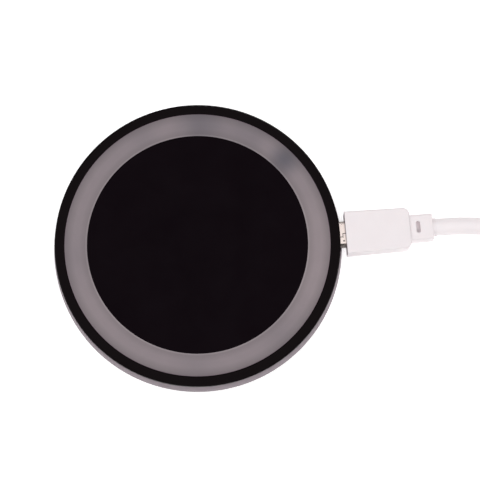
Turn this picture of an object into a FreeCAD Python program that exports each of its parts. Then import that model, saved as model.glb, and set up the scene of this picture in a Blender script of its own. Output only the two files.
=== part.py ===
"""Round wireless charging pad with a frosted light ring, and the micro USB lead that powers it.

Millimetres, +Z up. The origin is on the table under the middle of the pad, and +X runs out of its port,
along the plug. The pad is a frosted shell with a black disc and a black bezel let into its top, closed
from below by a screwed base. Inside, a round board carries the lamps, the power stage and the port, and
the ferrite and the transmitter winding lie on it. The lead is plugged in: a micro B plug, a round cord
that drops to the table, a tied coil of the spare length, and a USB A plug beside it.
"""
import FreeCAD
import Part
import math
import os

V = FreeCAD.Vector

# --- Pad: outline and heights -------------------------------------------------------------------------
PAD_HEIGHT = 9.0
BEZEL_R = 36.5          # outside of the black bezel
BODY_R = 37.1           # widest radius of the frosted shell, near its foot
BODY_WIDEST_Z = 1.7
RING_IN_R = 28.2        # the light ring shows between these two radii
RING_OUT_R = 33.9
BEZEL_UNDER_Z = 7.5
WALL_IN_R = 35.1
WALL_FOOT_Z = 0.7
DISC_THICK = 1.1
RING_TOP_Z = PAD_HEIGHT - 0.05
RING_UNDER_Z = 7.35
SHOULDER_UNDER_Z = 6.4
PLATE_TOP_Z = PAD_HEIGHT - DISC_THICK - 0.1
PLATE_UNDER_Z = 6.8
EDGE_SOFT = 0.5         # rounding of the bezel's outer edge
INNER_SOFT = 0.35       # and of its inner edge, beside the light ring

# --- Base, feet and screws ----------------------------------------------------------------------------
BASE_Z = 0.6
BASE_TOP_Z = 1.8
BASE_R = 34.95
FOOT_R = 3.6
FOOT_SINK = 0.5
SCREW_CIRCLE_R = 30.4
SCREW_ANGLES = [62.5 + 90 * k for k in range(4)]
BOSS_R = 1.8
BOSS_FOOT_Z = 2.7
SCREW_R = 0.8
SCREW_HEAD_R = 1.5
SCREW_HEAD_Z = (1.15, 1.95)
SCREW_TIP_Z = 5.8
POST_ANGLES = [17.5 + 90 * k for k in range(4)]
POST_CIRCLE_R = 30.5
POST_R = 1.3
PIN_R = 0.7
LABEL_SIZE = (30.0, 20.0)

# --- Board, lamps, ferrite and winding ----------------------------------------------------------------
BOARD_Z = 3.4
BOARD_TOP_Z = 4.4
BOARD_R = 33.0
LAMP_CIRCLE_R = 31.1
LAMP_PITCH = 45.0       # the port takes the eighth place
LAMP_ANGLES = [40.0 + LAMP_PITCH * k for k in range(7)]
FERRITE_R = 25.0
FERRITE_Z = (4.5, 5.5)
SLOT_WIDTH = 3.4        # radial slot in the ferrite for the leads
WIRE_SIDE = 1.1
COIL_IN_R = 10.3
COIL_PITCH = 1.2
COIL_TURNS = 10
COIL_TOP_Z = FERRITE_Z[1] + WIRE_SIDE

# --- Port and micro B plug ----------------------------------------------------------------------------
PLUG_HALF_W = 3.425
PLUG_HALF_H = 0.9
PLUG_TOP_HALF_W = 2.5
PLUG_BEND = (3.0, 0.48)     # the sloping side folds slightly here
PLUG_SHOULDER = -0.05
SHEET = 0.25            # sheet thickness of the plug's shell
PORT_GAP = 0.05
PORT_SHEET = 0.28
PORT_Z = BOARD_TOP_Z + PLUG_HALF_H + PORT_GAP + PORT_SHEET
PORT_MOUTH_X = 36.3
PORT_BACK_X = 30.3
PORT_BLOCK_X = 31.1
PLUG_TIP_X = 31.3
MOULD_X = 38.05         # face of the plug's white moulding
MOULD_LENGTH = 16.6
MOULD_WIDTHS = (10.95, 10.6)
MOULD_HEIGHT = 6.0
MOULD_CORNER_R = 1.8
RELIEF_LENGTH = 5.75
RELIEF_WIDTH = 6.7
RELIEF_HEIGHT = 5.0
LIP_LENGTH = 0.9
LIP_R = 2.35
LATCH_Y = 2.2
LATCH_X = 33.4
LATCH_PIVOT_X = 37.0

# --- Cord ---------------------------------------------------------------------------------------------
CORD_R = 2.25
CORD_X = MOULD_X + MOULD_LENGTH + RELIEF_LENGTH + LIP_LENGTH
COIL_CENTRE = (110.5, 13.0)
BUNDLE_OUT_R = 29.0     # centreline of the outermost turn
BUNDLE_IN_R = 14.4
BUNDLE_ANGLE = -130.0   # where the lead joins the coil and the tail leaves it
TIE_ANGLE = 20.0
TIE_WIDTH = 4.0
TIE_THICK = 0.6

# --- USB A plug ---------------------------------------------------------------------------------------
A_HEADING = -22.0
A_LENGTH = 19.5
A_WIDTH = 15.6
A_HEIGHT = 8.0
A_SHELL = (12.0, 4.5, 12.0)   # width, height, bare length
A_SHEET = 0.3
A_RELIEF_LENGTH = 6.0


def box(x0, x1, y0, y1, z0, z1):
    return Part.makeBox(x1 - x0, y1 - y0, z1 - z0, V(x0, y0, z0))


def disc(r, z0, z1, x=0.0, y=0.0):
    return Part.makeCylinder(r, z1 - z0, V(x, y, z0))


def ring(r0, r1, z0, z1):
    return disc(r1, z0, z1).cut(disc(r0, z0, z1))


def on_circle(r, degrees):
    a = math.radians(degrees)
    return r * math.cos(a), r * math.sin(a)


def turned(shape, degrees):
    copy = shape.copy()
    copy.rotate(V(0, 0, 0), V(0, 0, 1), degrees)
    return copy


def join(shapes):
    """One solid, or a compound of separate ones, with no leftover seams."""
    first, rest = shapes[0], shapes[1:]
    return first.fuse(rest).removeSplitter() if rest else first


def group(shapes):
    return Part.makeCompound(shapes)


def spun(edges):
    """Solid of revolution about Z of a closed outline drawn in the XZ plane."""
    face = Part.Face(Part.Wire(edges))
    return face.revolve(V(0, 0, 0), V(0, 0, 1), 360)


def line(a, b):
    return Part.LineSegment(V(a[0], 0, a[1]), V(b[0], 0, b[1])).toShape()


def arc(a, b, c):
    return Part.Arc(V(a[0], 0, a[1]), V(b[0], 0, b[1]), V(c[0], 0, c[1])).toShape()


def oblong(length, width, z0, z1, x, y):
    """Upright slot-shaped prism, long along Y."""
    half = (length - width) / 2
    mid = box(x - width / 2, x + width / 2, y - half, y + half, z0, z1)
    return join([mid, disc(width / 2, z0, z1, x, y - half), disc(width / 2, z0, z1, x, y + half)])


def rounded_block(size, radius, centre):
    """Box with all its edges rounded."""
    sx, sy, sz = size
    block = Part.makeBox(sx, sy, sz, V(centre[0] - sx / 2, centre[1] - sy / 2, centre[2] - sz / 2))
    return block.makeFillet(radius, block.Edges)


# --- Pad casing ---------------------------------------------------------------------------------------
def side_radius(z):
    """Outside radius of the frosted shell: a slack arc, upright where it is widest."""
    drop = BODY_R - (BEZEL_R - 0.05)
    rise = BEZEL_UNDER_Z - BODY_WIDEST_Z
    bow = (rise ** 2 + drop ** 2) / (2 * drop)
    return BODY_R - bow + math.sqrt(bow ** 2 - (z - BODY_WIDEST_Z) ** 2)


def port_opening():
    half_w, low, high = 4.3, PORT_Z - 1.43, PORT_Z + 1.37
    opening = box(33.0, 38.5, -half_w, half_w, low, high)
    return opening.makeFillet(0.9, [e for e in opening.Edges if abs(e.tangentAt(0).x) > 0.9])


def upper_shell():
    foot_r = BODY_WIDEST_Z - WALL_FOOT_Z
    corner = (BODY_R - foot_r, BODY_WIDEST_Z)
    half = math.sqrt(0.5) * foot_r
    mid_z = (BEZEL_UNDER_Z + BODY_WIDEST_Z) / 2
    top_r = side_radius(BEZEL_UNDER_Z)
    inner_r = RING_IN_R + 0.7
    outline = [
        line((WALL_IN_R, WALL_FOOT_Z), (corner[0], WALL_FOOT_Z)),
        arc((corner[0], WALL_FOOT_Z), (corner[0] + half, BODY_WIDEST_Z - half), (BODY_R, BODY_WIDEST_Z)),
        arc((BODY_R, BODY_WIDEST_Z), (side_radius(mid_z), mid_z), (top_r, BEZEL_UNDER_Z)),
    ]
    corners = [
        (top_r, BEZEL_UNDER_Z), (RING_OUT_R, BEZEL_UNDER_Z), (RING_OUT_R, RING_TOP_Z),
        (RING_IN_R, RING_TOP_Z), (RING_IN_R, PLATE_TOP_Z), (0, PLATE_TOP_Z), (0, PLATE_UNDER_Z),
        (inner_r, PLATE_UNDER_Z), (inner_r, RING_UNDER_Z), (RING_OUT_R - 0.15, RING_UNDER_Z),
        (RING_OUT_R - 0.15, SHOULDER_UNDER_Z), (WALL_IN_R, SHOULDER_UNDER_Z), (WALL_IN_R, WALL_FOOT_Z),
    ]
    outline += [line(a, b) for a, b in zip(corners, corners[1:])]
    shell = spun(outline)
    bosses = [disc(BOSS_R, BOSS_FOOT_Z, RING_UNDER_Z, *on_circle(SCREW_CIRCLE_R, a)) for a in SCREW_ANGLES]
    shell = shell.fuse(bosses)
    pilots = [disc(SCREW_R + 0.02, BOSS_FOOT_Z, SCREW_TIP_Z + 0.4, *on_circle(SCREW_CIRCLE_R, a))
              for a in SCREW_ANGLES]
    pin_holes = [disc(0.45, BEZEL_UNDER_Z - 1.0, BEZEL_UNDER_Z, *on_circle(35.3, a)) for a in bezel_pins()]
    return shell.cut(pilots + pin_holes + [port_opening()]).removeSplitter()


def bezel_pins():
    return [30.0 + 60.0 * k for k in range(6)]


def top_bezel():
    low, high = BEZEL_UNDER_Z, PAD_HEIGHT
    soft, inner = EDGE_SOFT, INNER_SOFT
    bend, inner_bend = soft * (1 - math.sqrt(0.5)), inner * (1 - math.sqrt(0.5))
    outline = [
        line((RING_OUT_R, low), (BEZEL_R, low)),
        line((BEZEL_R, low), (BEZEL_R, high - soft)),
        arc((BEZEL_R, high - soft), (BEZEL_R - bend, high - bend), (BEZEL_R - soft, high)),
        line((BEZEL_R - soft, high), (RING_OUT_R + inner, high)),
        arc((RING_OUT_R + inner, high), (RING_OUT_R + inner_bend, high - inner_bend),
            (RING_OUT_R, high - inner)),
        line((RING_OUT_R, high - inner), (RING_OUT_R, low)),
    ]
    pins = [disc(0.4, low - 0.9, low, *on_circle(35.3, a)) for a in bezel_pins()]
    return spun(outline).fuse(pins).removeSplitter()


def top_disc():
    low, high, soft = PAD_HEIGHT - DISC_THICK, PAD_HEIGHT, 0.12
    r = RING_IN_R - 0.02
    bend = soft * (1 - math.sqrt(0.5))
    outline = [
        line((0, low), (r, low)),
        line((r, low), (r, high - soft)),
        arc((r, high - soft), (r - bend, high - bend), (r - soft, high)),
        line((r - soft, high), (0, high)),
        line((0, high), (0, low)),
    ]
    return spun(outline)


def disc_adhesive():
    return disc(RING_IN_R - 1.2, PLATE_TOP_Z, PAD_HEIGHT - DISC_THICK)


def bottom_cover():
    plate = disc(BASE_R, BASE_Z, BASE_TOP_Z)
    plate = plate.makeChamfer(0.25, [e for e in plate.Edges if abs(e.BoundBox.ZMax - BASE_Z) < 1e-6])
    lip = ring(33.5, 34.5, BASE_TOP_Z, BASE_TOP_Z + 1.0)
    pads = [disc(2.7, BASE_TOP_Z, BOSS_FOOT_Z, *on_circle(SCREW_CIRCLE_R, a)) for a in SCREW_ANGLES]
    posts = [disc(POST_R, BASE_TOP_Z, BOARD_Z, *on_circle(POST_CIRCLE_R, a)) for a in POST_ANGLES]
    pins = [disc(PIN_R, BOARD_Z, BOARD_TOP_Z + 0.2, *on_circle(POST_CIRCLE_R, a)) for a in POST_ANGLES]
    cover = plate.fuse([lip] + pads + posts + pins)
    cuts = []
    for a in SCREW_ANGLES:
        x, y = on_circle(SCREW_CIRCLE_R, a)
        cuts.append(disc(FOOT_R + 0.1, BASE_Z, BASE_Z + FOOT_SINK, x, y))
        cuts.append(disc(SCREW_HEAD_R + 0.15, BASE_Z, SCREW_HEAD_Z[1], x, y))
        cuts.append(disc(SCREW_R + 0.15, BASE_Z, BOSS_FOOT_Z, x, y))
    half_x, half_y = LABEL_SIZE[0] / 2 + 0.2, LABEL_SIZE[1] / 2 + 0.2
    cuts.append(box(-half_x, half_x, -half_y, half_y, BASE_Z, BASE_Z + 0.12))
    cuts.append(ring(25.0, 25.5, BASE_Z, BASE_Z + 0.2))
    return cover.cut(cuts).removeSplitter()


def rating_label():
    sx, sy = LABEL_SIZE
    label = box(-sx / 2, sx / 2, -sy / 2, sy / 2, BASE_Z + 0.02, BASE_Z + 0.12)
    return label.makeFillet(1.5, [e for e in label.Edges if abs(e.tangentAt(0).z) > 0.9])


def rubber_feet():
    feet = []
    for a in SCREW_ANGLES:
        x, y = on_circle(SCREW_CIRCLE_R, a)
        foot = disc(FOOT_R, 0, BASE_Z + FOOT_SINK, x, y)
        feet.append(foot.makeFillet(0.3, [e for e in foot.Edges if e.BoundBox.ZMax < 0.01]))
    return group(feet)


def case_screws():
    screws = []
    cross_half, cross_depth = 0.16, 0.45
    low, high = SCREW_HEAD_Z
    for a in SCREW_ANGLES:
        x, y = on_circle(SCREW_CIRCLE_R, a)
        head = disc(SCREW_HEAD_R, low, high, x, y)
        shank = disc(SCREW_R, high, SCREW_TIP_Z - 0.6, x, y)
        tip = Part.makeCone(SCREW_R, 0.3, 0.6, V(x, y, SCREW_TIP_Z - 0.6))
        cross = [box(x - 0.9, x + 0.9, y - cross_half, y + cross_half, low, low + cross_depth),
                 box(x - cross_half, x + cross_half, y - 0.9, y + 0.9, low, low + cross_depth)]
        screws.append(join([head, shank, tip]).cut(cross))
    return group(screws)


# --- Board and what is on it --------------------------------------------------------------------------
def circuit_board():
    board = disc(BOARD_R, BOARD_Z, BOARD_TOP_Z)
    board = board.fuse(box(28.0, 34.5, -4.8, 4.8, BOARD_Z, BOARD_TOP_Z)).removeSplitter()
    holes = [disc(BOSS_R + 0.25, BOARD_Z, BOARD_TOP_Z, *on_circle(SCREW_CIRCLE_R, a)) for a in SCREW_ANGLES]
    holes += [disc(PIN_R + 0.05, BOARD_Z, BOARD_TOP_Z, *on_circle(POST_CIRCLE_R, a)) for a in POST_ANGLES]
    return board.cut(holes)


def lamps():
    """Seven top-firing lamps under the light ring, each a body with a raised lens."""
    made = []
    for a in LAMP_ANGLES:
        body = box(-0.63, 0.63, -1.0, 1.0, BOARD_TOP_Z, BOARD_TOP_Z + 0.45)
        lens = box(-0.6, 0.6, -0.65, 0.65, BOARD_TOP_Z + 0.45, BOARD_TOP_Z + 0.8)
        lamp = join([body, lens])
        lamp.translate(V(LAMP_CIRCLE_R, 0, 0))
        made.append(turned(lamp, a))
    return group(made)


def lamp_resistors():
    made = []
    for a in LAMP_ANGLES:
        part = box(-0.4, 0.4, -0.8, 0.8, BOARD_TOP_Z, BOARD_TOP_Z + 0.45)
        part.translate(V(28.0, 0, 0))
        made.append(turned(part, a))
    return group(made)


def under_board(size, places):
    """Parts soldered under the board: (length, width, height) blocks at (x, y, turn)."""
    made = []
    for x, y, turn in places:
        block = box(-size[0] / 2, size[0] / 2, -size[1] / 2, size[1] / 2, BOARD_Z - size[2], BOARD_Z)
        block = turned(block, turn)
        block.translate(V(x, y, 0))
        made.append(block)
    return group(made)


def around(r, count, start, turn=0.0, span=360.0):
    """Places spread along an arc about the pad's middle."""
    step = span / count
    return [(*on_circle(r, start + step * k), start + step * k + turn) for k in range(count)]


BRIDGE_PLACES = [(x, y, 0.0) for x in (4.0, 9.0) for y in (-9.0, -3.5)]
RESONANT_PLACES = [(3.6 * k, 8.5, 90.0) for k in range(4)]
INPUT_PLACES = [(24.0, y, 0.0) for y in (-3.0, 0.0, 3.0)]
SMALL_PLACES = around(15.0, 12, 105.0, 0.0, 180.0) + around(20.0, 10, 120.0, 90.0, 150.0)


def ferrite_slot(z0, z1):
    return box(6.0, FERRITE_R + 1.0, -SLOT_WIDTH / 2, SLOT_WIDTH / 2, z0, z1)


def ferrite_shield():
    plate = disc(FERRITE_R, *FERRITE_Z).cut(ferrite_slot(*FERRITE_Z))
    return turned(plate, 180.0)


def ferrite_tape():
    low = BOARD_TOP_Z
    film = disc(FERRITE_R - 0.5, low, FERRITE_Z[0]).cut(ferrite_slot(low, FERRITE_Z[0]))
    return turned(film, 180.0)


def transmitter_coil():
    """Flat winding of half circles about two centres, a quarter of the pitch either side of the middle."""
    sides = [], []
    for k in range(2 * COIL_TURNS):
        way = 1 if k % 2 else -1          # lower half circles, then upper ones
        centre = -way * COIL_PITCH / 4
        for side, grow in zip(sides, (0.0, WIRE_SIDE)):
            r = COIL_IN_R + grow + COIL_PITCH / 2 * k + COIL_PITCH / 4
            side.append([V(centre + way * r, 0, FERRITE_Z[1]), V(centre, way * r, FERRITE_Z[1]),
                         V(centre - way * r, 0, FERRITE_Z[1])])
    inner, outer = sides
    edges = [Part.Arc(*points).toShape() for points in inner + outer]
    for k, end in ((0, 0), (-1, 2)):
        edges.append(Part.LineSegment(inner[k][end], outer[k][end]).toShape())
    face = Part.Face(Part.Wire(Part.__sortEdges__(edges)))
    return face.extrude(V(0, 0, WIRE_SIDE))


def bare_wire(points, r):
    """Round wire along straight runs, with a ball at each corner."""
    parts = []
    for a, b in zip(points, points[1:]):
        run = V(*b) - V(*a)
        parts.append(Part.makeCylinder(r, run.Length, V(*a), run))
    parts += [Part.makeSphere(r, V(*p)) for p in points[1:-1]]
    return join(parts)


def coil_leads():
    r = 0.45
    low = BOARD_TOP_Z + r + 0.05
    pad_z = BOARD_TOP_Z + 0.1
    inner_x = -(COIL_IN_R - r - 0.25)
    mid_z = FERRITE_Z[1] + WIRE_SIDE / 2
    start = bare_wire([(inner_x, 0.6, mid_z), (inner_x, 0.6, low), (-26.4, 0.6, low)], r)
    out_x = -(COIL_IN_R + COIL_PITCH * COIL_TURNS + WIRE_SIDE + r)
    end = bare_wire([(out_x, -0.7, mid_z), (out_x - 2.0, -0.7, mid_z), (-27.2, -0.7, low),
                     (-27.8, -0.7, low)], r)
    tags = [disc(0.9, BOARD_TOP_Z, pad_z, -26.0, 2.0), disc(0.9, BOARD_TOP_Z, pad_z, -28.6, -2.0)]
    return group([start, end] + tags)


def coil_adhesive():
    return ring(COIL_IN_R - 0.5, COIL_IN_R + COIL_PITCH * COIL_TURNS + 0.5, COIL_TOP_Z, PLATE_UNDER_Z)


def thermistor():
    top, low = FERRITE_Z[1], BOARD_TOP_Z + 0.25
    bead = Part.makeSphere(0.62, V(-3.0, 0, top + 0.62))
    legs = []
    for s in (-1, 1):
        route = [(-3.3, s * 0.3, top + 0.5), (-7.2, s * 0.3 - 0.7, top + 0.3), (-7.2, s * 0.3 - 0.7, low),
                 (-25.6, s * 0.25 - 1.1, low)]
        legs.append(bare_wire(route, 0.12))
    return join([bead] + legs)


# --- Port and plug ------------------------------------------------------------------------------------
def plug_outline(grow, x0, x1):
    """Prism along X with the micro B outline grown all round: flat below, its sides sloping in above."""
    low_slope = math.atan2(PLUG_HALF_W - PLUG_BEND[0], PLUG_BEND[1] - PLUG_SHOULDER)
    high_slope = math.atan2(PLUG_BEND[0] - PLUG_TOP_HALF_W, PLUG_HALF_H - PLUG_BEND[1])
    middle, reach = (low_slope + high_slope) / 2, grow / math.cos((high_slope - low_slope) / 2)
    bend = (PLUG_BEND[0] + reach * math.cos(middle), PLUG_BEND[1] + reach * math.sin(middle))
    wide, low, high = PLUG_HALF_W + grow, -PLUG_HALF_H - grow, PLUG_HALF_H + grow
    shoulder = PLUG_SHOULDER + grow * math.tan(low_slope / 2)
    top = PLUG_TOP_HALF_W + grow * math.tan(math.pi / 4 - high_slope / 2)
    half = [(wide, low), (wide, shoulder), bend, (top, high)]
    outline = half + [(-y, z) for y, z in reversed(half)]
    points = [V(x0, y, PORT_Z + z) for y, z in outline]
    return Part.Face(Part.makePolygon(points + points[:1])).extrude(V(x1 - x0, 0, 0))


def latch_windows(x0, x1, y0, y1, z0, z1):
    return [box(x0, x1, y0, y1, z0, z1), box(x0, x1, -y1, -y0, z0, z1)]


def contact_strips(x0, x1, z0, z1, width=0.35):
    return [box(x0, x1, 0.65 * k - width / 2, 0.65 * k + width / 2, z0, z1) for k in range(-2, 3)]


def port_shell():
    shell = plug_outline(PORT_GAP + PORT_SHEET, PORT_BACK_X, PORT_MOUTH_X)
    shell = shell.cut(plug_outline(PORT_GAP, PORT_BACK_X, PORT_MOUTH_X))
    side = PLUG_HALF_W + PORT_GAP + PORT_SHEET
    tabs = [box(x, x + 1.1, s * side if s > 0 else -side - 0.9, side + 0.9 if s > 0 else -side,
                BOARD_TOP_Z, BOARD_TOP_Z + PORT_SHEET) for x in (30.8, 33.0) for s in (-1, 1)]
    shell = shell.fuse(tabs).removeSplitter()
    roof = PORT_Z + PLUG_HALF_H
    return shell.cut(latch_windows(LATCH_X - 0.8, LATCH_X + 0.8, 1.8, 2.6, roof, roof + 0.5))


def port_insulator():
    block = plug_outline(PORT_GAP, PORT_BACK_X, PORT_BLOCK_X)
    tongue = box(PORT_BLOCK_X, 35.2, -1.85, 1.85, PORT_Z - 0.1, PORT_Z + 0.5)
    return block.fuse(tongue).removeSplitter().cut(port_contact_blanks())


def port_contact_blanks():
    low = PORT_Z - 0.17
    strips = contact_strips(PORT_BACK_X - 0.7, 34.8, low, low + 0.07)
    feet = contact_strips(PORT_BACK_X - 0.7, PORT_BACK_X - 0.55, BOARD_TOP_Z, low + 0.07)
    return [a.fuse(b).removeSplitter() for a, b in zip(strips, feet)]


def micro_plug_shell():
    shell = plug_outline(0, PLUG_TIP_X, MOULD_X + 2.0).cut(plug_outline(-SHEET, PLUG_TIP_X, MOULD_X + 2.0))
    top = PORT_Z + PLUG_HALF_H
    windows = latch_windows(LATCH_X - 0.65, LATCH_X + 0.65, 1.85, 2.55, top - 0.5, top + 0.1)
    # The folded shell's seam runs along its top, with one square step near the moulding.
    w, deep, step_x, back_x = 0.09, 0.13, MOULD_X - 0.75, MOULD_X - 2.4
    seam_y, step_y = 0.1, -0.75
    seam = [box(step_x - w, MOULD_X + 2.0, seam_y - w, seam_y + w, top - deep, top + 0.1),
            box(step_x - w, step_x + w, step_y - w - 0.15, seam_y + w, top - deep, top + 0.1),
            box(back_x, step_x, step_y - w, step_y + w, top - deep, top + 0.1),
            box(back_x - w, back_x + w, step_y - w, seam_y + w, top - deep, top + 0.1),
            box(PLUG_TIP_X, back_x, seam_y - w, seam_y + w, top - deep, top + 0.1),
            disc(0.22, top - 0.06, top + 0.1, MOULD_X - 0.6, -1.8)]
    return shell.cut(windows + seam)


def micro_plug_insulator():
    fit = -SHEET - 0.02
    low = PORT_Z - PLUG_HALF_H + SHEET + 0.02
    block = plug_outline(fit, 35.6, MOULD_X + 2.0)
    floor = box(PLUG_TIP_X + 0.2, 35.6, -2.9, 2.9, low, PORT_Z - 0.3)
    body = block.fuse(floor).removeSplitter()
    slots = latch_windows(35.6, 36.5, 1.9, 2.5, PORT_Z, PORT_Z + 0.7)
    slots.append(box(36.5, 37.5, -2.5, 2.5, PORT_Z, PORT_Z + 0.33))
    return body.cut(slots + micro_contact_blanks())


def micro_contact_blanks():
    return contact_strips(PLUG_TIP_X + 0.5, MOULD_X + 1.5, PORT_Z - 0.3, PORT_Z - 0.2)


def micro_plug_latch():
    """Sprung U with a hook on each arm, held pressed in by the port's roof."""
    low, high, top = PORT_Z + 0.05, PORT_Z + 0.25, PORT_Z + PLUG_HALF_H - 0.02
    yoke = box(LATCH_PIVOT_X - 0.4, LATCH_PIVOT_X + 0.4, -2.45, 2.45, low, high)
    parts = [yoke]
    for side in (-1, 1):
        y0 = side * LATCH_Y - 0.25
        parts.append(box(LATCH_X - 0.55, LATCH_PIVOT_X - 0.4, y0, y0 + 0.5, low, high))
        tooth = [V(LATCH_X - 0.5, y0, high), V(LATCH_X - 0.15, y0, top), V(LATCH_X + 0.2, y0, top),
                 V(LATCH_X + 0.45, y0, high)]
        parts.append(Part.Face(Part.makePolygon(tooth + tooth[:1])).extrude(V(0, 0.5, 0)))
    return join(parts)


def micro_plug_overmould():
    """Tapered white grip: square at the metal, round at the cord."""
    x0, x1, r = MOULD_X, MOULD_X + MOULD_LENGTH, MOULD_CORNER_R
    front, back = MOULD_WIDTHS[0] / 2, MOULD_WIDTHS[1] / 2
    low = PORT_Z - MOULD_HEIGHT / 2
    half = math.sqrt(0.5) * r

    def at(x, y):
        return V(x, y, low)

    edges = [
        Part.LineSegment(at(x0, -front), at(x1 - r, -back)),
        Part.Arc(at(x1 - r, -back), at(x1 - r + half, -back + r - half), at(x1, -back + r)),
        Part.LineSegment(at(x1, -back + r), at(x1, back - r)),
        Part.Arc(at(x1, back - r), at(x1 - r + half, back - r + half), at(x1 - r, back)),
        Part.LineSegment(at(x1 - r, back), at(x0, front)),
        Part.LineSegment(at(x0, front), at(x0, -front)),
    ]
    grip = Part.Face(Part.Wire([e.toShape() for e in edges])).extrude(V(0, 0, MOULD_HEIGHT))
    flat = [e for e in grip.Edges if abs(e.BoundBox.ZMax - e.BoundBox.ZMin) < 1e-6]
    grip = grip.makeFillet(0.55, [e for e in flat if e.BoundBox.XMax > x0 + 1e-3])
    neck = relief_block(x1 - 1.5, x1)
    return grip.cut([plug_outline(0, x0, x0 + 2.0), neck])


def relief_block(x0, x1, z=PORT_Z):
    half_w, half_h = RELIEF_WIDTH / 2, RELIEF_HEIGHT / 2
    block = box(x0, x1, -half_w, half_w, z - half_h, z + half_h)
    return block.makeFillet(0.7, [e for e in block.Edges if abs(e.tangentAt(0).x) > 0.9])


def micro_plug_strain_relief():
    x0, x1 = MOULD_X + MOULD_LENGTH, MOULD_X + MOULD_LENGTH + RELIEF_LENGTH
    body = relief_block(x0 - 1.5, x1)
    body = body.makeFillet(0.2, [e for e in body.Edges if abs(e.BoundBox.XMin - x1) < 1e-6])
    lip = Part.makeCylinder(LIP_R, LIP_LENGTH + 0.3, V(x1 - 0.3, 0, PORT_Z), V(1, 0, 0))
    half_h = RELIEF_HEIGHT / 2
    lows = (PORT_Z - half_h, PORT_Z + half_h - 1.5)
    slots = [oblong(3.1, 1.05, z, z + 1.5, x0 + 1.95, 0) for z in lows]
    return body.fuse(lip).removeSplitter().cut(slots)


# --- Cord ---------------------------------------------------------------------------------------------
def coil_point(radius, degrees, z):
    x, y = on_circle(radius, degrees)
    return (COIL_CENTRE[0] + x, COIL_CENTRE[1] + y, z)


# Route of the lead: level out of the plug, down to the table, then round to the right into the coil.
LEAD_ROUTE = [
    (CORD_X, 0.0, PORT_Z),
    (65.6, 0.0, PORT_Z),
    (71.6, -0.3, 5.0),
    (78.0, -1.3, 3.4),
    (84.8, -4.0, CORD_R),
    coil_point(BUNDLE_OUT_R, BUNDLE_ANGLE, CORD_R),
]
# Route of the tail: off the top of the coil and down into the USB A plug.
TAIL_ROUTE = [
    coil_point(BUNDLE_OUT_R, BUNDLE_ANGLE, 3 * CORD_R),
    (96.5, -12.9, 6.3),
    (101.0, -17.3, 5.1),
    (106.3, -21.2, A_HEIGHT / 2),
    (112.5, -23.705, A_HEIGHT / 2),
]


def bends(route):
    """Radius of the arc at each inner point: as large as its two runs allow."""
    radii = []
    for a, b, c in zip(route, route[1:], route[2:]):
        one, two = V(*b) - V(*a), V(*c) - V(*b)
        turn = one.getAngle(two)
        radii.append(0.45 * min(one.Length, two.Length) / math.tan(turn / 2))
    return radii


def cord_tube(route):
    """Round tube along straight runs joined by tangent arcs."""
    edges, last = [], V(*route[0])
    for a, b, c in zip(route, route[1:], route[2:]):
        corner = V(*b)
        back, ahead = (V(*a) - corner), (V(*c) - corner)
        reach = 0.45 * min(back.Length, ahead.Length)
        back.normalize()
        ahead.normalize()
        start, end = corner + back * reach, corner + ahead * reach
        inward = back + ahead
        inward.normalize()
        half_turn = (math.pi - back.getAngle(ahead)) / 2
        radius = reach / math.tan(half_turn)
        middle = corner + inward * (radius / math.cos(half_turn) - radius)
        edges.append(Part.LineSegment(last, start).toShape())
        edges.append(Part.Arc(start, middle, end).toShape())
        last = end
    edges.append(Part.LineSegment(last, V(*route[-1])).toShape())
    path = Part.Wire(edges)
    first = V(*route[1]) - V(*route[0])
    section = Part.Wire(Part.makeCircle(CORD_R, V(*route[0]), first))
    tube = path.makePipeShell([section], True, True)
    share = tube.Volume / (math.pi * CORD_R ** 2 * path.Length)
    print("cord", "radii", [round(r, 1) for r in bends(route)], "length", round(path.Length, 1),
          "volume share", round(share, 4), "valid", tube.isValid())
    return tube


def cord_coil():
    """Outer shape of the tied coil: four turns wide and two deep, grooved where the tie grips it."""
    low_r, high_r, height = BUNDLE_IN_R - CORD_R, BUNDLE_OUT_R + CORD_R, 4 * CORD_R
    body = ring(low_r, high_r, 0, height)
    soft = [e for e in body.Edges if isinstance(e.Curve, Part.Circle)]
    body = body.makeFillet(1.4, soft)
    body.translate(V(*COIL_CENTRE, 0))
    return body.cut(tie_block(TIE_THICK)).cut(mouths())


def mouths():
    """Room at the rim where the lead and the tail reach the coil."""
    cuts = []
    for route in (LEAD_ROUTE[::-1], TAIL_ROUTE):
        run = V(*route[1]) - V(*route[0])
        cuts.append(Part.makeCylinder(CORD_R + 0.4, run.Length, V(*route[0]), run))
    return cuts


def tie_block(inset):
    """Square ring about the coil's bundle at the tie, inset thick, flush with the bundle's outside."""
    low_r, high_r, height = BUNDLE_IN_R - CORD_R, BUNDLE_OUT_R + CORD_R, 4 * CORD_R
    half = TIE_WIDTH / 2
    outer = box(low_r - 0.2, high_r + 0.2, -half, half, 0, height)
    inner = box(low_r - 0.2 + inset, high_r + 0.2 - inset, -half, half, inset, height - inset)
    band = turned(outer.cut(inner), TIE_ANGLE)
    band.translate(V(*COIL_CENTRE, 0))
    return band


def cord_tie():
    return tie_block(TIE_THICK)


# --- USB A plug, drawn along +X from its cord end, then laid beside the coil --------------------------
def laid(shape):
    copy = turned(shape, A_HEADING)
    copy.translate(V(*TAIL_ROUTE[-1]))
    return copy


def a_plug_strain_relief():
    body = relief_block(0, A_RELIEF_LENGTH + 1.5, 0.0)
    body = body.makeFillet(0.35, [e for e in body.Edges if abs(e.BoundBox.XMax) < 1e-6])
    half_h = RELIEF_HEIGHT / 2
    slots = [oblong(3.1, 1.05, z, z + 1.5, 3.6, 0) for z in (-half_h, half_h - 1.5)]
    return laid(body.cut(slots))


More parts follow.
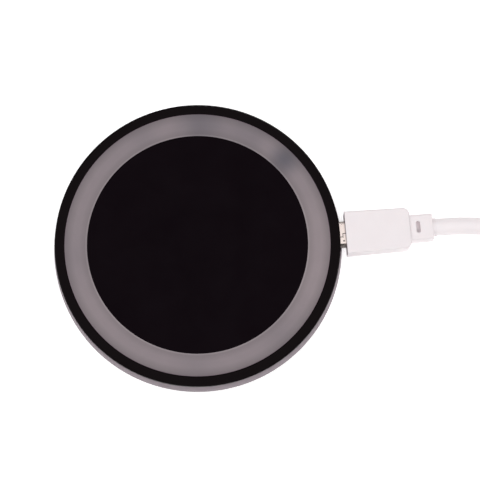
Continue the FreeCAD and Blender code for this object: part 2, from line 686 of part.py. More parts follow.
def a_plug_overmould():
    x0, x1 = A_RELIEF_LENGTH, A_RELIEF_LENGTH + A_LENGTH
    half_w, half_h = A_WIDTH / 2, A_HEIGHT / 2
    grip = box(x0, x1, -half_w, half_w, -half_h, half_h)
    cord_end = [e for e in grip.Edges if e.BoundBox.XMax < x0 + 1 and abs(e.tangentAt(0).z) > 0.9]
    grip = grip.makeFillet(2.6, cord_end)
    flat = [e for e in grip.Edges if abs(e.BoundBox.ZMax - e.BoundBox.ZMin) < 1e-6]
    grip = grip.makeFillet(0.7, [e for e in flat if e.BoundBox.XMin < x1 - 1e-3])
    return laid(grip.cut([relief_block(x0, x0 + 1.5, 0.0), a_shell_block(0.0, x1 - 4.0, x1)]))


def a_shell_block(inset, x0, x1):
    w, h = A_SHELL[0] / 2 - inset, A_SHELL[1] / 2 - inset
    block = box(x0, x1, -w, w, -h, h)
    return block.makeFillet(0.35, [e for e in block.Edges if abs(e.tangentAt(0).x) > 0.9])


def a_plug_shell():
    x0 = A_RELIEF_LENGTH + A_LENGTH
    x1 = x0 + A_SHELL[2]
    shell = a_shell_block(0.0, x0 - 4.0, x1).cut(a_shell_block(A_SHEET, x0 - 4.0, x1))
    windows = [box(x0 + 4.0, x0 + 6.0, s * 3.0 - 1.15, s * 3.0 + 1.15, -3.0, 3.0) for s in (-1, 1)]
    seam = box(x0 - 4.0, x1, -0.06, 0.06, -A_SHELL[1] / 2, -A_SHELL[1] / 2 + 0.12)
    return laid(shell.cut(windows + [seam]))


def a_contact_blanks(x0, x1, z):
    """Two long outer contacts and two shorter inner ones."""
    strips = []
    for y, short in ((-3.5, 0.0), (-1.0, 1.1), (1.0, 1.1), (3.5, 0.0)):
        strips.append(box(x0, x1 - short, y - 0.5, y + 0.5, z, z + 0.12))
    return strips


def a_plug_insulator():
    x0 = A_RELIEF_LENGTH + A_LENGTH
    low = -A_SHELL[1] / 2 + A_SHEET + 0.02
    block = a_shell_block(A_SHEET + 0.02, x0 - 3.9, x0 + 0.8)
    tongue = box(x0 + 0.8, x0 + A_SHELL[2] - 0.4, -5.3, 5.3, low, low + 1.85)
    return laid(block.fuse(tongue).removeSplitter().cut(a_contacts_here(low)))


def a_contacts_here(low):
    x0 = A_RELIEF_LENGTH + A_LENGTH
    return a_contact_blanks(x0 - 2.0, x0 + A_SHELL[2] - 1.4, low + 1.77)


def a_plug_contacts():
    low = -A_SHELL[1] / 2 + A_SHEET + 0.02
    return group([laid(s) for s in a_contacts_here(low)])


NODES = {
    "top_disc": top_disc,
    "disc_adhesive": disc_adhesive,
    "top_bezel": top_bezel,
    "upper_shell": upper_shell,
    "bottom_cover": bottom_cover,
    "rating_label": rating_label,
    "rubber_feet": rubber_feet,
    "case_screws": case_screws,
    "circuit_board": circuit_board,
    "lamps": lamps,
    "lamp_resistors": lamp_resistors,
    "controller_chip": lambda: under_board((5.0, 5.0, 0.9), [(-9.0, 3.0, 0.0)]),
    "bridge_transistors": lambda: under_board((3.3, 3.3, 0.9), BRIDGE_PLACES),
    "resonant_capacitors": lambda: under_board((3.2, 2.5, 1.3), RESONANT_PLACES),
    "input_capacitors": lambda: under_board((3.2, 1.6, 1.2), INPUT_PLACES),
    "power_inductor": lambda: under_board((4.0, 4.0, 1.2), [(17.0, 0.0, 0.0)]),
    "clock_crystal": lambda: under_board((3.2, 2.5, 0.7), [(-9.0, -5.0, 0.0)]),
    "small_passives": lambda: under_board((1.6, 0.8, 0.5), SMALL_PLACES),
    "ferrite_tape": ferrite_tape,
    "ferrite_shield": ferrite_shield,
    "transmitter_coil": transmitter_coil,
    "coil_leads": coil_leads,
    "coil_adhesive": coil_adhesive,
    "thermistor": thermistor,
    "port_shell": port_shell,
    "port_insulator": port_insulator,
    "port_contacts": lambda: group(port_contact_blanks()),
    "micro_plug_shell": micro_plug_shell,
    "micro_plug_insulator": micro_plug_insulator,
    "micro_plug_contacts": lambda: group(micro_contact_blanks()),
    "micro_plug_latch": micro_plug_latch,
    "micro_plug_overmould": micro_plug_overmould,
    "micro_plug_strain_relief": micro_plug_strain_relief,
    "cord_lead": lambda: cord_tube(LEAD_ROUTE),
    "cord_coil": cord_coil,
    "cord_tail": lambda: cord_tube(TAIL_ROUTE),
    "cord_tie": cord_tie,
    "usb_a_strain_relief": a_plug_strain_relief,
    "usb_a_overmould": a_plug_overmould,
    "usb_a_shell": a_plug_shell,
    "usb_a_insulator": a_plug_insulator,
    "usb_a_contacts": a_plug_contacts,
}


def main():
    os.makedirs("parts", exist_ok=True)
    for name, make in NODES.items():
        shape = make()
        solids = shape.Solids
        if not solids or not shape.isValid() or min(s.Volume for s in solids) <= 0:
            print("CHECK", name, "solids", len(solids), "valid", shape.isValid())
        shape.exportStep(f"parts/{name}.step")
    print(len(NODES), "nodes")


if __name__ == "__main__":
    main()
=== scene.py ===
"""Looks for the round wireless charging pad and the micro USB lead plugged into it.

Metres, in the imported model's own frame: the pad stands at the origin, +Z is up and +X runs out of its
port.
"""
import math

import bmesh
import bpy
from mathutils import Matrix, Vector


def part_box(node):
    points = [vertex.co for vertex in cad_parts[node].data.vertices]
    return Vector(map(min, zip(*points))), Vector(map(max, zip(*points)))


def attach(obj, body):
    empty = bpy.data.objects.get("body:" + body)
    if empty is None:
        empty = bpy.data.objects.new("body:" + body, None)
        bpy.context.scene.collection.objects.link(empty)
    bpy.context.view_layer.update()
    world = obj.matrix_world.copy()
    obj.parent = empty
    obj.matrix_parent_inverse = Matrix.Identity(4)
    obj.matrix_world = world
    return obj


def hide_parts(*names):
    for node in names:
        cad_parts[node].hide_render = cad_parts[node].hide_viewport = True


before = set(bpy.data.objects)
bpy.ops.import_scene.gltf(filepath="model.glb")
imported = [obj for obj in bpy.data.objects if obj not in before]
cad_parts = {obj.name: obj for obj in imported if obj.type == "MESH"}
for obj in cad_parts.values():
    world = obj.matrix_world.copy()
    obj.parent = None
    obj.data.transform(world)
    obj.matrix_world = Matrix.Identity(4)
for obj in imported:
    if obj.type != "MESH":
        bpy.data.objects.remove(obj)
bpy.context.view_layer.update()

MM = 0.001
CABLE = "cable"

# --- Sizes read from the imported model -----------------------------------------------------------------
BEZEL_WIDTH = 2.6 * MM
PAD_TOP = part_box("top_disc")[1].z
DISC_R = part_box("top_disc")[1].x
RING_OUT_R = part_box("top_bezel")[1].x - BEZEL_WIDTH
SHELL_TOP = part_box("micro_plug_shell")[1].z
COIL_LOW, COIL_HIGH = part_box("cord_coil")
COIL_CENTRE = (COIL_LOW + COIL_HIGH) / 2

# --- Camera -------------------------------------------------------------------------------------------
VIEW_AZIMUTH = math.radians(-4.6)
VIEW_ELEVATION = math.radians(79.7)
VIEW_DISTANCE = 0.5
VIEW_LENS = 147.15
VIEW_TARGET = Vector((10.87 * MM, 0.1 * MM, PAD_TOP))


def add_camera():
    flat = math.cos(VIEW_ELEVATION)
    back = Vector((math.sin(VIEW_AZIMUTH) * flat, -math.cos(VIEW_AZIMUTH) * flat,
                   math.sin(VIEW_ELEVATION)))
    data = bpy.data.cameras.new("camera")
    data.lens = VIEW_LENS
    data.sensor_width = 36.0
    data.clip_start = 0.01
    data.clip_end = 10.0
    camera = bpy.data.objects.new("camera", data)
    bpy.context.collection.objects.link(camera)
    camera.location = VIEW_TARGET + back * VIEW_DISTANCE
    camera.rotation_mode = "QUATERNION"
    camera.rotation_quaternion = (-back).to_track_quat("-Z", "Y")
    bpy.context.scene.camera = camera


# --- Cord ---------------------------------------------------------------------------------------------
CORD_DIAMETER = 4.5 * MM
COIL_OUT_R = 29.0 * MM      # centreline radii of the wound length
COIL_IN_R = 14.4 * MM
COIL_ANGLE = math.radians(-130.0)
TIE_ANGLE = math.radians(20.0)
LAYER_TURNS = 3.25
CLIMB_TURNS = 0.5
CLIMB_DRAWN_IN = 0.5 * MM   # the climbing half turn is this much tighter
POINTS_A_TURN = 24
LOW_Z = CORD_DIAMETER / 2
HIGH_Z = 3 * LOW_Z
PLUG_Z = 5.63 * MM
USB_A_Z = 4.0 * MM

LEAD_ROUTE = [
    (61.3 * MM, 0.0, PLUG_Z),
    (65.6 * MM, 0.0, PLUG_Z),
    (71.6 * MM, -0.3 * MM, 5.0 * MM),
    (78.0 * MM, -1.3 * MM, 3.4 * MM),
    (84.8 * MM, -4.0 * MM, LOW_Z),
]
TAIL_ROUTE = [
    (96.5 * MM, -12.9 * MM, 6.3 * MM),
    (101.0 * MM, -17.3 * MM, 5.1 * MM),
    (106.3 * MM, -21.2 * MM, USB_A_Z),
    (112.5 * MM, -23.705 * MM, USB_A_Z),
]


def coil_route():
    """Lower layer wound inwards, half a turn of climb, upper layer wound outwards, all over the tie."""
    turns = 2 * LAYER_TURNS + CLIMB_TURNS
    count = round(turns * POINTS_A_TURN)
    reach = 1 / math.cos(math.pi / POINTS_A_TURN)     # the spline cuts inside its control points
    points = []
    for k in range(count + 1):
        turn = turns * k / count
        angle = COIL_ANGLE + 2 * math.pi * turn
        climb = min(1.0, max(0.0, (turn - LAYER_TURNS) / CLIMB_TURNS))
        from_end = min(turn, turns - turn, LAYER_TURNS) / LAYER_TURNS
        radius = COIL_OUT_R - (COIL_OUT_R - COIL_IN_R) * from_end
        radius -= CLIMB_DRAWN_IN * math.sin(math.pi * climb)
        z = LOW_Z + (HIGH_Z - LOW_Z) * (0.5 - 0.5 * math.cos(math.pi * climb))
        off_tie = math.remainder(angle - TIE_ANGLE, 2 * math.pi)
        z += TIE_THICK * math.exp(-(off_tie / TIE_LIFT_SPREAD) ** 2)
        points.append((COIL_CENTRE.x + reach * radius * math.cos(angle),
                       COIL_CENTRE.y + reach * radius * math.sin(angle), z))
    return points


def add_cord():
    route = LEAD_ROUTE + coil_route() + TAIL_ROUTE
    data = bpy.data.curves.new("cord", "CURVE")
    data.dimensions = "3D"
    data.bevel_depth = 1.0
    data.bevel_resolution = 7
    data.resolution_u = 6
    data.use_fill_caps = True
    spline = data.splines.new("NURBS")
    spline.points.add(len(route) - 1)
    for point, place in zip(spline.points, route):
        point.co = (*place, 1.0)
        point.radius = CORD_DIAMETER / 2
    spline.order_u = 3
    spline.use_endpoint_u = True
    cord = bpy.data.objects.new("cord", data)
    bpy.context.collection.objects.link(cord)
    return cord


# --- Tie round the coil -------------------------------------------------------------------------------
TIE_WIDTH = 4.0 * MM
TIE_THICK = 0.5 * MM
TIE_LIFT_SPREAD = math.radians(14.0)
TIE_CORNER = 2.3 * MM
TIE_CORNER_STEPS = 8
TIE_RIDGE = 0.35 * MM       # the wire in the middle of the strip stands this proud
TAIL_LENGTH = 9.0 * MM
TAIL_TWISTS = 1.5
TAIL_STEPS = 24
TAIL_NARROW = 0.3           # twisting draws the strip's width in to this share
TAIL_GAP = 0.35 * MM        # the two ends run this far either side of their line,
TAIL_FLARE = 0.9 * MM       # and part by this much over the last of it
TAIL_FLARE_FROM = 0.7
TAIL_INSET = 2.0 * MM       # they start this far inside the outermost turn,
TAIL_RISE = 3.1 * TIE_THICK     # and this high over the coil


def tie_loop():
    """Closed path round the bundle's section, as (radius, height, outward radius, outward height)."""
    wound_in = (TIE_ANGLE - COIL_ANGLE) / (2 * math.pi * LAYER_TURNS)
    outer_turn = COIL_OUT_R - (COIL_OUT_R - COIL_IN_R) * wound_in
    low_r, high_r = COIL_IN_R - CORD_DIAMETER / 2, outer_turn + CORD_DIAMETER / 2
    low_z, high_z = TIE_THICK / 2, 2 * CORD_DIAMETER + 1.5 * TIE_THICK
    low_r, high_r = low_r - TIE_THICK / 2, high_r + TIE_THICK / 2
    c = TIE_CORNER
    corners = [(high_r - c, high_z - c, 0), (low_r + c, high_z - c, 90), (low_r + c, low_z + c, 180),
               (high_r - c, low_z + c, 270)]
    path = []
    for r, z, start in corners:
        for k in range(TIE_CORNER_STEPS + 1):
            a = math.radians(start + 90 * k / TIE_CORNER_STEPS)
            path.append((r + c * math.cos(a), z + c * math.sin(a), math.cos(a), math.sin(a)))
    return path


def strip_section(ridge=TIE_RIDGE):
    """Half widths and heights across the strip: thin flat edges, with a round wire in the middle."""
    half, flat = TIE_WIDTH / 2, TIE_THICK / 2
    return [(-half, flat * 0.7), (-half * 0.9, flat), (-0.6 * MM, flat), (-0.3 * MM, flat + ridge * 0.7),
            (0.0, flat + ridge), (0.3 * MM, flat + ridge * 0.7), (0.6 * MM, flat),
            (half * 0.9, flat), (half, flat * 0.7)]


def strip_ring(across, out, centre):
    """One closed ring of points round the strip's section, its wire pressed flat where it faces down."""
    flat = TIE_THICK / 2
    section = strip_section(TIE_RIDGE * min(1.0, 1.0 + out.z))
    top = [centre + across * w + out * h for w, h in section]
    bottom = [centre + across * w - out * min(h, flat) for w, h in reversed(section)]
    return top + bottom


def skin(mesh, rings, closed):
    made = [[mesh.verts.new(p) for p in ring] for ring in rings]
    last = len(made) if closed else len(made) - 1
    for k in range(last):
        a, b = made[k], made[(k + 1) % len(made)]
        for j in range(len(a)):
            mesh.faces.new((a[j], a[(j + 1) % len(a)], b[(j + 1) % len(a)], b[j]))
    if not closed:
        mesh.faces.new(made[0][::-1])
        mesh.faces.new(made[-1])


def add_tie():
    """Flat strip round the bundle, its two ends twisted together and laid on top."""
    radial = Vector((math.cos(TIE_ANGLE), math.sin(TIE_ANGLE), 0))
    across = Vector((-radial.y, radial.x, 0))
    base = Vector((COIL_CENTRE.x, COIL_CENTRE.y, 0))
    up = Vector((0, 0, 1))
    mesh = bmesh.new()
    rings = []
    for r, z, out_r, out_z in tie_loop():
        rings.append(strip_ring(across, radial * out_r + up * out_z, base + radial * r + up * z))
    skin(mesh, rings, True)
    # The twisted ends start over the outer corner and lie along the top, towards the middle of the coil.
    start = base + radial * (COIL_OUT_R - TAIL_INSET) + up * (2 * CORD_DIAMETER + TAIL_RISE)
    section = [(w * TAIL_NARROW, h) for w, h in strip_section()]
    for side in (-1, 1):
        tail = []
        for k in range(TAIL_STEPS + 1):
            share = k / TAIL_STEPS
            twist = side * math.pi / 2 + 2 * math.pi * TAIL_TWISTS * share
            spread = TAIL_GAP + TAIL_FLARE * max(0.0, share - TAIL_FLARE_FROM)
            out = across * math.sin(twist) + up * math.cos(twist)
            side_way = across * math.cos(twist) - up * math.sin(twist)
            centre = start - radial * TAIL_LENGTH * share + out * spread
            top = [centre + side_way * w + out * h * 0.8 for w, h in section]
            under = [centre + side_way * w - out * TIE_THICK * 0.3 for w, _ in reversed(section)]
            tail.append(top + under)
        skin(mesh, tail, False)
    bmesh.ops.recalc_face_normals(mesh, faces=mesh.faces)
    data = bpy.data.meshes.new("coil_tie")
    mesh.to_mesh(data)
    mesh.free()
    for polygon in data.polygons:
        polygon.use_smooth = True
    tie = bpy.data.objects.new("coil_tie", data)
    bpy.context.collection.objects.link(tie)
    return tie


# --- Materials ----------------------------------------------------------------------------------------
class Shader:
    """A material's node tree, with short calls for the nodes that these surfaces need."""

    def __init__(self, name):
        self.material = bpy.data.materials.new(name)
        self.material.use_nodes = True
        self.tree = self.material.node_tree
        self.principled = self.tree.nodes["Principled BSDF"]
        self.place = self.node("ShaderNodeTexCoord").outputs["Object"]

    def node(self, kind, **settings):
        made = self.tree.nodes.new(kind)
        for name, value in settings.items():
            setattr(made, name, value)
        return made

    def link(self, source, target):
        self.tree.links.new(source, target)

    def set(self, **values):
        """Sets the shader's own sockets, which are named with _ for a space."""
        for name, value in values.items():
            self.principled.inputs[name.replace("_", " ")].default_value = value

    def noise(self, size, detail=3.0, stretch=(1.0, 1.0, 1.0)):
        """Noise whose blotches are about size metres across."""
        spread = self.node("ShaderNodeMapping")
        spread.inputs["Scale"].default_value = stretch
        self.link(self.place, spread.inputs["Vector"])
        made = self.node("ShaderNodeTexNoise")
        made.inputs["Scale"].default_value = 1.0 / size
        made.inputs["Detail"].default_value = detail
        self.link(spread.outputs["Vector"], made.inputs["Vector"])
        return made.outputs["Fac"]

    def math(self, operation, a, b=0.0):
        made = self.node("ShaderNodeMath", operation=operation)
        for socket, value in zip(made.inputs, (a, b)):
            if isinstance(value, (int, float)):
                socket.default_value = value
            else:
                self.link(value, socket)
        return made.outputs[0]

    def ramp(self, value, stops):
        """Colour ramp through (position, colour) stops."""
        made = self.node("ShaderNodeValToRGB")
        elements = made.color_ramp.elements
        while len(elements) < len(stops):
            elements.new(0.5)
        for element, (position, colour) in zip(elements, stops):
            element.position = position
            element.color = (*colour, 1.0)
        self.link(value, made.inputs["Fac"])
        return made.outputs["Color"]

    def span(self, value, low, high, to_low, to_high, smooth=False):
        made = self.node("ShaderNodeMapRange")
        made.interpolation_type = "SMOOTHSTEP" if smooth else "LINEAR"
        made.inputs["From Min"].default_value = low
        made.inputs["From Max"].default_value = high
        made.inputs["To Min"].default_value = to_low
        made.inputs["To Max"].default_value = to_high
        self.link(value, made.inputs["Value"])
        return made.outputs["Result"]

    def times(self, colour, factor):
        """A colour with its brightness multiplied."""
        made = self.node("ShaderNodeVectorMath", operation="SCALE")
        self.link(colour, made.inputs[0])
        self.link(factor, made.inputs["Scale"])
        return made.outputs["Vector"]

    def bump(self, *layers):
        """Relief from (height, depth in metres) layers, one on the other."""
        last = None
        for height, depth in layers:
            made = self.node("ShaderNodeBump")
            made.inputs["Strength"].default_value = 1.0
            made.inputs["Distance"].default_value = depth
            self.link(height, made.inputs["Height"])
            if last:
                self.link(last, made.inputs["Normal"])
            last = made.outputs["Normal"]
        self.link(last, self.principled.inputs["Normal"])

    def colour(self, source):
        self.link(source, self.principled.inputs["Base Color"])

    def blotches(self, source, low, high, edges=(0.3, 0.7)):
        """Colour that wanders between two tones."""
        self.colour(self.ramp(source, [(edges[0], low), (edges[1], high)]))

    def roughness(self, source, low, high):
        """Roughness that wanders between two values."""
        self.link(self.span(source, 0.3, 0.7, low, high), self.principled.inputs["Roughness"])

    def around(self):
        """(distance from the pad's axis, flat position) of a point."""
        flat = self.node("ShaderNodeVectorMath", operation="MULTIPLY")
        self.link(self.place, flat.inputs[0])
        flat.inputs[1].default_value = (1.0, 1.0, 0.0)
        length = self.node("ShaderNodeVectorMath", operation="LENGTH")
        self.link(flat.outputs["Vector"], length.inputs[0])
        return length.outputs["Value"], flat.outputs["Vector"]


def mottled(name, colour, spread, size, roughness, rough_spread, grain, depth, metallic):
    """Plain moulded or painted surface: soft blotches of tone, uneven gloss and a fine grain."""
    shader = Shader(name)
    low = tuple(c * (1 - spread) for c in colour)
    high = tuple(c * (1 + spread) for c in colour)
    shader.blotches(shader.noise(size), low, high)
    shader.roughness(shader.noise(size * 0.6), roughness - rough_spread, roughness + rough_spread)
    shader.bump((shader.noise(grain, 2.0), depth))
    shader.set(Metallic=metallic)
    return shader.material


def soft_black():
    """Soft-touch disc: near black, a very fine sand grain and a few worn smoother patches."""
    shader = Shader("soft_touch_black")
    shader.blotches(shader.noise(9 * MM, 4.0), (0.0034, 0.0015, 0.0028), (0.0044, 0.0023, 0.0038))
    shader.roughness(shader.noise(6 * MM, 5.0), 0.66, 0.76)
    shader.bump((shader.noise(0.12 * MM, 2.0), 0.004 * MM), (shader.noise(0.5 * MM), 0.004 * MM))
    shader.set(Specular_IOR_Level=0.03)
    return shader.material


def satin_black():
    """Moulded bezel: a little glossier than the disc."""
    shader = Shader("satin_black")
    shader.blotches(shader.noise(7 * MM, 4.0), (0.0024, 0.0008, 0.0013), (0.0032, 0.0013, 0.0020))
    shader.roughness(shader.noise(3 * MM, 4.0), 0.36, 0.46)
    shader.bump((shader.noise(0.15 * MM, 2.0), 0.003 * MM))
    shader.set(Specular_IOR_Level=0.055)
    return shader.material


# Where the lamps and the board behind them darken the frosted ring: angle, reach and depth. A depth below
# 0 is a lighter stretch of painted light, on the right and the lower left of the ring.
LAMP_SPOTS_AND_PAINTED_LIGHT = [(84.0, 9.0 * MM, 0.33), (40.0, 6.0 * MM, 0.51), (60.0, 8.0 * MM, 0.17),
               (71.0, 6.0 * MM, 0.07), (112.0, 6.0 * MM, 0.10), (124.0, 14.0 * MM, 0.03),
               (180.0, 9.0 * MM, 0.06), (265.0, 7.0 * MM, 0.08), (307.0, 7.0 * MM, 0.08),
               (210.0, 13.0 * MM, -0.05), (235.0, 13.0 * MM, -0.03), (340.0, 14.0 * MM, -0.13),
               (5.0, 14.0 * MM, -0.12)]
LAMP_R = 31.3 * MM


def frosted():
    """Translucent shell: milky grey, with a painted highlight line along the disc's edge and painted
    shade of the bezel darkening it towards the bezel, and the lamps dim inside it.
    """
    shader = Shader("frosted_shell")
    radius, flat = shader.around()
    across = shader.span(radius, DISC_R, RING_OUT_R, 0.0, 1.0)
    # Across the ring: a painted highlight line at the disc's edge, a darker band beside it, painted shade
    # of the bezel towards the outer edge, then the shell's own side colour.
    tone_and_painted_edge_light = shader.ramp(across, [(0.0, (0.265, 0.225, 0.240)), (0.04, (0.245, 0.208, 0.220)),
                                (0.09, (0.195, 0.162, 0.174)), (0.35, (0.233, 0.194, 0.209)),
                                (0.62, (0.233, 0.194, 0.209)), (0.85, (0.192, 0.160, 0.172)),
                                (0.96, (0.165, 0.137, 0.148)), (1.0, (0.166, 0.121, 0.145))])
    # Lamp spots seen through the ring, and lighter stretches of painted light where the depth is below 0.
    lamps_and_painted_light = None
    for angle, reach, depth in LAMP_SPOTS_AND_PAINTED_LIGHT:
        near = shader.node("ShaderNodeVectorMath", operation="DISTANCE")
        shader.link(flat, near.inputs[0])
        a = math.radians(angle)
        near.inputs[1].default_value = (LAMP_R * math.cos(a), LAMP_R * math.sin(a), 0.0)
        dip = shader.span(near.outputs["Value"], 0.0, reach, depth, 0.0, smooth=True)
        lamps_and_painted_light = dip if lamps_and_painted_light is None else shader.math("ADD", lamps_and_painted_light, dip)
    light = shader.node("ShaderNodeVectorMath", operation="MULTIPLY_ADD")
    shader.link(lamps_and_painted_light, light.inputs[0])
    light.inputs[1].default_value = (-1.05, -0.97, -0.86)       # the shades are slightly blue
    light.inputs[2].default_value = (1.0, 1.0, 1.0)
    shaded = shader.node("ShaderNodeVectorMath", operation="MULTIPLY")
    shader.link(tone_and_painted_edge_light, shaded.inputs[0])
    shader.link(light.outputs["Vector"], shaded.inputs[1])
    soft = shader.span(shader.noise(4 * MM, 4.0), 0.3, 0.7, 0.975, 1.025)
    shader.colour(shader.times(shaded.outputs["Vector"], soft))
    shader.roughness(shader.noise(2 * MM, 3.0), 0.42, 0.52)
    shader.bump((shader.noise(0.1 * MM, 2.0), 0.003 * MM))
    shader.set(Specular_IOR_Level=0.35, Subsurface_Weight=0.12, Subsurface_Radius=(1.0, 0.9, 0.95),
               Subsurface_Scale=0.8 * MM)
    return shader.material


# The micro USB shell's top: half width of its flat, and how far below it its grooves and flanks lie,
# where painted shade darkens the shell.
SHELL_FLAT = 2.5 * MM
GROOVE_DEPTH = 0.05 * MM
FLANK_DROP = 0.46 * MM


def nickel(name, painted_groove_shade=False):
    """Bright plated sheet with fine drawing lines along the plug; on the seamed shell, painted shade
    darkens the grooves in its top and its lower flanks.
    """
    shader = Shader(name)
    metal = shader.ramp(shader.noise(1.5 * MM, 4.0),
                        [(0.3, (0.75, 0.65, 0.61)), (0.7, (0.83, 0.72, 0.68))])
    if painted_groove_shade:
        # Painted shade: the grooves in the shell's top and its lower flanks are darkened.
        apart = shader.node("ShaderNodeSeparateXYZ")
        shader.link(shader.place, apart.inputs[0])
        height = apart.outputs["Z"]
        depth = shader.span(height, SHELL_TOP - GROOVE_DEPTH, SHELL_TOP - 0.4 * GROOVE_DEPTH, 0.1, 1.0)
        beside = shader.span(shader.math("ABSOLUTE", apart.outputs["Y"]), 0.98 * SHELL_FLAT, SHELL_FLAT,
                             0.0, 1.0)
        flank_shade = shader.span(height, SHELL_TOP - FLANK_DROP, SHELL_TOP - FLANK_DROP + 0.1 * MM, 0.2, 1.0)
        groove_shade = shader.math("MAXIMUM", depth, beside)
        metal = shader.times(metal, shader.math("MULTIPLY", flank_shade, groove_shade))
    shader.colour(metal)
    shader.roughness(shader.noise(0.4 * MM, 4.0, (1.0, 8.0, 8.0)), 0.16, 0.26)
    shader.bump((shader.noise(0.25 * MM, 3.0, (0.5, 8.0, 8.0)), 0.0012 * MM))
    shader.set(Metallic=1.0)
    return shader.material


def white_pvc(name, colour, roughness):
    """Soft white moulding: faint flow marks, an eggshell grain and a little light inside."""
    shader = Shader(name)
    low = tuple(c * 0.985 for c in colour)
    shader.blotches(shader.noise(4 * MM, 3.0), low, colour, (0.35, 0.65))
    shader.roughness(shader.noise(1.5 * MM, 4.0), roughness - 0.05, roughness + 0.05)
    shader.bump((shader.noise(0.12 * MM, 2.0), 0.003 * MM), (shader.noise(2.5 * MM, 2.0), 0.02 * MM))
    shader.set(Subsurface_Weight=0.1, Subsurface_Radius=(1.0, 0.8, 0.75), Subsurface_Scale=0.6 * MM)
    return shader.material


def spark_black():
    """Eroded mould texture of the base."""
    shader = Shader("spark_texture_black")
    shader.blotches(shader.noise(5 * MM), (0.014, 0.013, 0.013), (0.020, 0.018, 0.019))
    shader.roughness(shader.noise(0.3 * MM, 3.0), 0.5, 0.7)
    shader.bump((shader.noise(0.25 * MM, 3.0), 0.02 * MM))
    return shader.material


def label_film():
    """Silver film, blank, with a fine brushed lay."""
    shader = Shader("label_film")
    shader.blotches(shader.noise(2 * MM, 4.0, (1.0, 12.0, 1.0)), (0.46, 0.46, 0.47), (0.56, 0.56, 0.57))
    shader.roughness(shader.noise(1 * MM, 4.0, (1.0, 20.0, 1.0)), 0.28, 0.4)
    shader.bump((shader.noise(0.4 * MM, 3.0, (1.0, 20.0, 1.0)), 0.001 * MM))
    shader.set(Metallic=0.6)
    return shader.material


def tie_plastic():
    """Black plastic strip of the tie, slightly shiny and uneven."""
    shader = Shader("tie_strip")
    shader.blotches(shader.noise(1.5 * MM), (0.016, 0.016, 0.017), (0.026, 0.026, 0.027))
    shader.roughness(shader.noise(0.8 * MM, 4.0), 0.3, 0.45)
    shader.bump((shader.noise(0.3 * MM, 3.0), 0.01 * MM))
    return shader.material


def board_laminate():
    """Green solder mask over copper pours, with faint tracks."""
    shader = Shader("board_laminate")
    tracks = shader.node("ShaderNodeTexVoronoi", feature="DISTANCE_TO_EDGE")
    tracks.inputs["Scale"].default_value = 1.0 / (2.4 * MM)
    shader.link(shader.place, tracks.inputs["Vector"])
    shader.blotches(tracks.outputs["Distance"], (0.012, 0.085, 0.035), (0.02, 0.13, 0.05), (0.03, 0.06))
    shader.bump((tracks.outputs["Distance"], 0.03 * MM))
    shader.set(Roughness=0.3)
    return shader.material


def copper_wire():
    """Enamelled winding wire."""
    shader = Shader("enamelled_copper")
    shader.blotches(shader.noise(1.2 * MM, 4.0), (0.42, 0.13, 0.04), (0.55, 0.20, 0.07))
    shader.bump((shader.noise(0.3 * MM), 0.01 * MM))
    shader.set(Metallic=0.9, Roughness=0.3, Coat_Weight=0.4)
    return shader.material


def give(material, *nodes):
    for node in nodes:
        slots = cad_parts[node].data.materials
        slots.clear()
        slots.append(material)


PLAIN_SURFACES = [
    # material, colour, its spread, blotches in mm, roughness, its spread, grain and its depth in mm,
    # metallic, nodes
    ("foot_rubber", (0.022, 0.022, 0.023), 0.15, 2.0, 0.75, 0.08, 0.2, 0.01, 0.0, ["rubber_feet"]),
    ("screw_steel", (0.32, 0.31, 0.31), 0.1, 1.0, 0.35, 0.08, 0.1, 0.004, 1.0, ["case_screws"]),
    ("adhesive_film", (0.55, 0.5, 0.4), 0.06, 3.0, 0.6, 0.05, 0.4, 0.01, 0.0,
     ["disc_adhesive", "coil_adhesive", "ferrite_tape"]),
    ("lamp_body", (0.75, 0.74, 0.66), 0.04, 1.0, 0.3, 0.05, 0.3, 0.004, 0.0, ["lamps"]),
    ("chip_body", (0.02, 0.02, 0.021), 0.15, 1.0, 0.55, 0.06, 0.1, 0.006, 0.0,
     ["lamp_resistors", "controller_chip", "bridge_transistors", "small_passives"]),
    ("fired_ceramic", (0.42, 0.31, 0.2), 0.08, 1.0, 0.5, 0.06, 0.15, 0.006, 0.0,
     ["resonant_capacitors", "input_capacitors"]),
    ("sintered_ferrite", (0.03, 0.03, 0.032), 0.15, 1.5, 0.5, 0.08, 0.1, 0.008, 0.0,
     ["ferrite_shield", "power_inductor"]),
    ("can_metal", (0.62, 0.61, 0.58), 0.05, 1.0, 0.28, 0.06, 0.2, 0.003, 1.0, ["clock_crystal"]),
    ("epoxy_bead", (0.12, 0.05, 0.03), 0.1, 1.0, 0.25, 0.05, 0.3, 0.01, 0.0, ["thermistor"]),
    ("black_nylon", (0.018, 0.018, 0.019), 0.12, 1.0, 0.45, 0.06, 0.15, 0.006, 0.0,
     ["port_insulator", "micro_plug_insulator", "usb_a_insulator"]),
    ("gold_flash", (0.83, 0.6, 0.26), 0.06, 1.0, 0.22, 0.06, 0.2, 0.002, 1.0,
     ["port_contacts", "micro_plug_contacts", "usb_a_contacts"]),
]


def dress_nodes():
    give(soft_black(), "top_disc")
    give(satin_black(), "top_bezel")
    give(frosted(), "upper_shell")
    give(spark_black(), "bottom_cover")
    give(label_film(), "rating_label")
    give(nickel("nickel_plate"), "micro_plug_latch", "port_shell", "usb_a_shell")
    give(nickel("nickel_plate_painted_shade", painted_groove_shade=True), "micro_plug_shell")
    give(white_pvc("white_grip", (0.840, 0.778, 0.794), 0.5), "micro_plug_overmould",
         "micro_plug_strain_relief", "usb_a_overmould", "usb_a_strain_relief")
    give(board_laminate(), "circuit_board")
    give(copper_wire(), "transmitter_coil", "coil_leads")
    for name, colour, spread, size, rough, rough_spread, grain, depth, metallic, nodes in PLAIN_SURFACES:
        surface = mottled(name, colour, spread, size * MM, rough, rough_spread, grain * MM, depth * MM,
                          metallic)
        give(surface, *nodes)


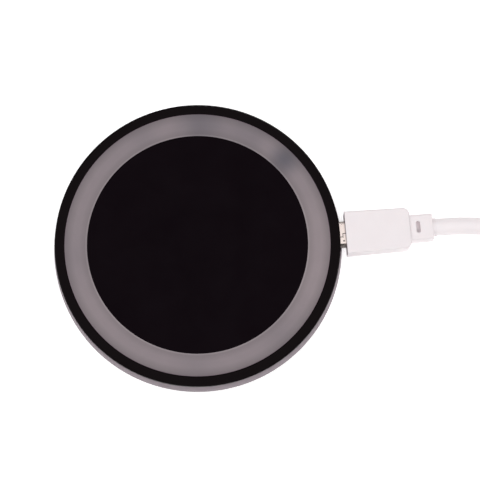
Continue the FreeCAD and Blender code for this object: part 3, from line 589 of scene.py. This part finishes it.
# --- Floor and lights ---------------------------------------------------------------------------------
FLOOR_SIZE = 4.0
FLOOR_GLOW = 0.5
WORLD_STRENGTH = 0.06
LIGHT_AIM = Vector((0.03, 0.0, 0.0))
LIGHTS = [
    # name, place, width and height, watts
    ("ceiling", (0.02, 0.12, 0.95), (1.30, 1.10), 5.0),
    ("left_light", (-0.80, 0.0, 0.62), (0.60, 0.50), 3.7),
    ("right_light", (0.85, -0.05, 0.70), (0.60, 0.50), 3.0),
    ("front_light", (0.10, -0.66, 0.74), (0.90, 0.36), 3.2),
    ("back_light", (0.05, 0.80, 0.62), (1.10, 0.40), 1.2),
]


def add_floor():
    data = bpy.data.meshes.new("floor")
    half = FLOOR_SIZE / 2
    corners = [(-half, -half, 0), (half, -half, 0), (half, half, 0), (-half, half, 0)]
    data.from_pydata(corners, [], [(0, 1, 2, 3)])
    floor = bpy.data.objects.new("floor", data)
    bpy.context.collection.objects.link(floor)
    shader = Shader("floor_white")
    shader.blotches(shader.noise(60 * MM), (0.88, 0.88, 0.88), (0.9, 0.9, 0.9))
    shader.set(Roughness=0.9, Specular_IOR_Level=0.0, Emission_Color=(1.0, 1.0, 1.0, 1.0),
               Emission_Strength=FLOOR_GLOW)
    data.materials.append(shader.material)


def add_lights():
    for name, place, size, watts in LIGHTS:
        data = bpy.data.lights.new(name, "AREA")
        data.shape = "RECTANGLE"
        data.size, data.size_y = size
        data.energy = watts
        light = bpy.data.objects.new(name, data)
        bpy.context.collection.objects.link(light)
        light.location = place
        aim = LIGHT_AIM - Vector(place)
        light.rotation_mode = "QUATERNION"
        light.rotation_quaternion = aim.to_track_quat("-Z", "Y")
    world = bpy.data.worlds.new("studio")
    world.use_nodes = True
    background = world.node_tree.nodes["Background"]
    background.inputs["Color"].default_value = (1.0, 0.99, 0.99, 1.0)
    background.inputs["Strength"].default_value = WORLD_STRENGTH
    bpy.context.scene.world = world
    bpy.context.scene.view_settings.view_transform = "Standard"


# --- Scene --------------------------------------------------------------------------------------------
add_camera()
cord = add_cord()
tie = add_tie()
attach(cord, CABLE)
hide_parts("cord_lead", "cord_coil", "cord_tail")
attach(tie, CABLE)
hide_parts("cord_tie")
cord.data.materials.append(white_pvc("white_jacket", (0.872, 0.812, 0.828), 0.4))
tie.data.materials.append(tie_plastic())
dress_nodes()
add_floor()
add_lights()

bpy.context.view_layer.update()
